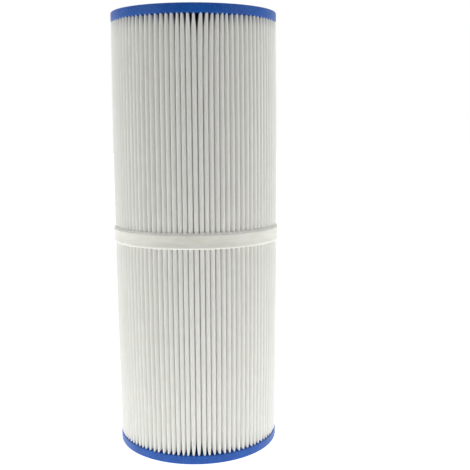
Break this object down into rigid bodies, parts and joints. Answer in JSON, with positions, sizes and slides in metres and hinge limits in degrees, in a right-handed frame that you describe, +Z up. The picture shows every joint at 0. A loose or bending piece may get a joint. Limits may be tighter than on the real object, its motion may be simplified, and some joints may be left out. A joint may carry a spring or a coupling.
{
  "type": "filter cartridge",
  "caption": "Tall cylindrical pleated filter cartridge with moulded plastic end caps, a strap round the middle and a perforated hollow core; strains water in a pool or spa.",
  "frame": {"origin": "centre of the lower end cap's outer face, where the cartridge stands", "axes": "+Z up along the cartridge's axis, from the lower end cap to the upper one; +X and +Y are across it, and the strap's glued joint is on the +Y side"},
  "size_m": [0.128, 0.128, 0.336],
  "materials": {
    "blue_cap": "cast polyurethane, satin",
    "filter_fabric": "calendered spunbond polyester, matt",
    "core_plastic": "injection moulded, satin",
    "band_strap": "hot-melt strap, waxy",
    "hot_glue": "set hot glue, waxy"
  },
  "bodies": {
    "root": {"bottom_end_cap": "blue_cap", "top_end_cap": "blue_cap", "pleated_media": "filter_fabric", "media_seam_glue": "hot_glue", "core_lower_section": "core_plastic", "core_middle_section": "core_plastic", "core_upper_section": "core_plastic", "centre_band": "band_strap", "band_joint_glue": "hot_glue", "band_glue_upper": "hot_glue", "band_glue_lower": "hot_glue"}
  },
  "joints": []
}
